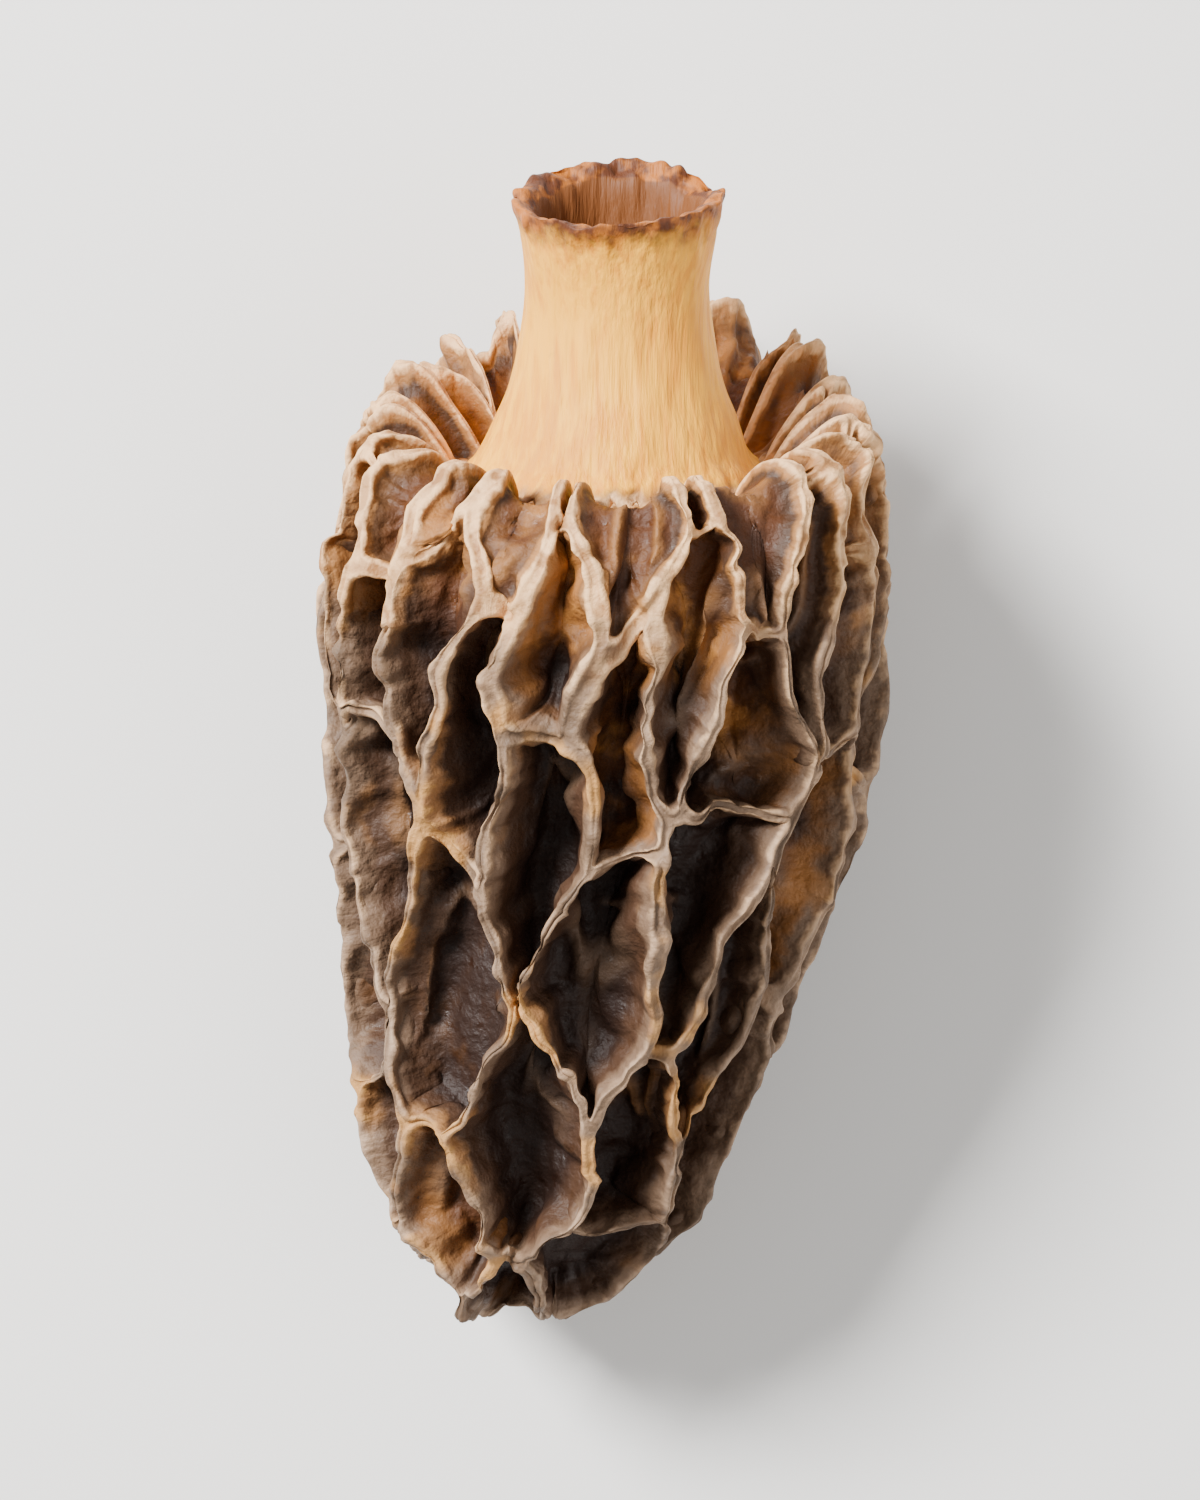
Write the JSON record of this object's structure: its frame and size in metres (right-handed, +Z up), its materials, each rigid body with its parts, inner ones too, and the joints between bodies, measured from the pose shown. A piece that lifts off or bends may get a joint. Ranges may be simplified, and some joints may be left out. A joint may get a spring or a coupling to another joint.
{
  "type": "dried morel mushroom",
  "caption": "Dried morel: a blunt, deeply pitted and ridged hollow cap on a short waisted stem with its cut end open, lying on its side.",
  "frame": {"origin": "centre of the bounding box in plan, on the surface that the mushroom lies on", "axes": "+Z up from the surface, +Y along the mushroom towards the stem's cut end, +X to the right when it is seen from above with the stem at the top"},
  "size_m": [0.0156, 0.0314, 0.0146],
  "materials": {
    "dried_flesh": "matt, dry and leathery: dark brown pits, grey-beige ridge crests and a cream stem"
  },
  "bodies": {
    "root": {"dried_morel": "dried_flesh"}
  },
  "joints": []
}
